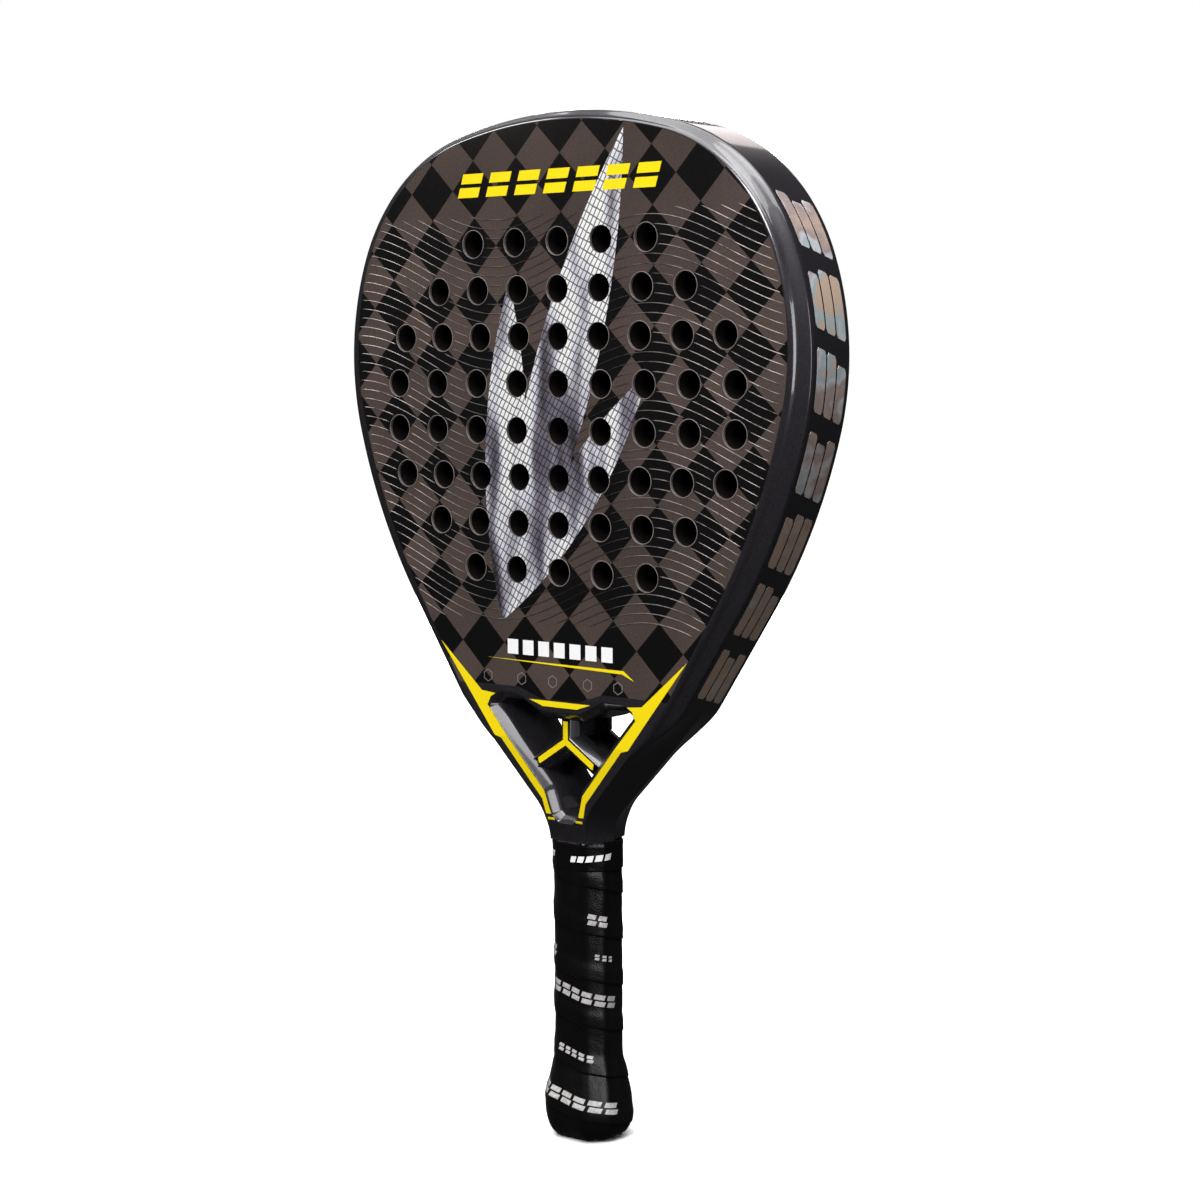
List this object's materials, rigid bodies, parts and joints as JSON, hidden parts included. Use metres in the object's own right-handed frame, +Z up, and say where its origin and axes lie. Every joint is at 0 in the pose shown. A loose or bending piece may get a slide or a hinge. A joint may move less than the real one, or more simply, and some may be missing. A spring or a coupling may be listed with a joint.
{
  "type": "padel racket",
  "caption": "Diamond-headed padel racket with a perforated carbon face, open braced throat and wrapped handle.",
  "frame": {"origin": "middle of the flat end of the butt", "axes": "+Z up the racket towards the top of the head, +X across the face, -Y out of the front face"},
  "size_m": [0.26, 0.038, 0.455],
  "materials": {
    "frame_lacquer": "black lacquer with fine metallic flake over moulded carbon",
    "brace_lacquer": "gloss black lacquer",
    "eva_foam": "dense black EVA foam, drilled walls",
    "carbon_face": "checked spread-tow carbon under clear lacquer with raised ridges",
    "glass_fibre": "glass fibre in cured resin",
    "yellow_film": "bright yellow print under clear lacquer",
    "white_film": "white print under clear lacquer",
    "silver_foil": "silver foil with an engraved diagonal hatch",
    "holographic_foil": "hologram foil",
    "handle_foam": "rigid polyurethane foam",
    "handle_shell": "moulded shell",
    "butt_plastic": "moulded black plastic",
    "base_grip_pu": "cushioned polyurethane tape",
    "overgrip_pu": "thin slightly shiny polyurethane tape, wrapped with overlaps",
    "tape_vinyl": "gloss black adhesive tape"
  },
  "bodies": {
    "root": {"frame_tube": "frame_lacquer", "throat_bridge": "frame_lacquer", "throat_brace": "brace_lacquer", "foam_core": "eva_foam", "front_carbon_ply": "carbon_face", "rear_carbon_ply": "carbon_face", "front_glass_ply": "glass_fibre", "rear_glass_ply": "glass_fibre", "front_bar_marks": "yellow_film", "rear_bar_marks": "yellow_film", "front_blade_foil": "silver_foil", "rear_blade_foil": "silver_foil", "front_model_marks": "white_film", "rear_model_marks": "white_film", "front_throat_decal": "yellow_film", "rear_throat_decal": "yellow_film", "front_brace_trim": "yellow_film", "rear_brace_trim": "yellow_film", "left_side_foil": "holographic_foil", "right_side_foil": "holographic_foil", "handle_core": "handle_foam", "handle_shell": "handle_shell", "butt_cap": "butt_plastic", "base_grip": "base_grip_pu", "overgrip": "overgrip_pu", "finishing_tape": "tape_vinyl"}
  },
  "joints": []
}
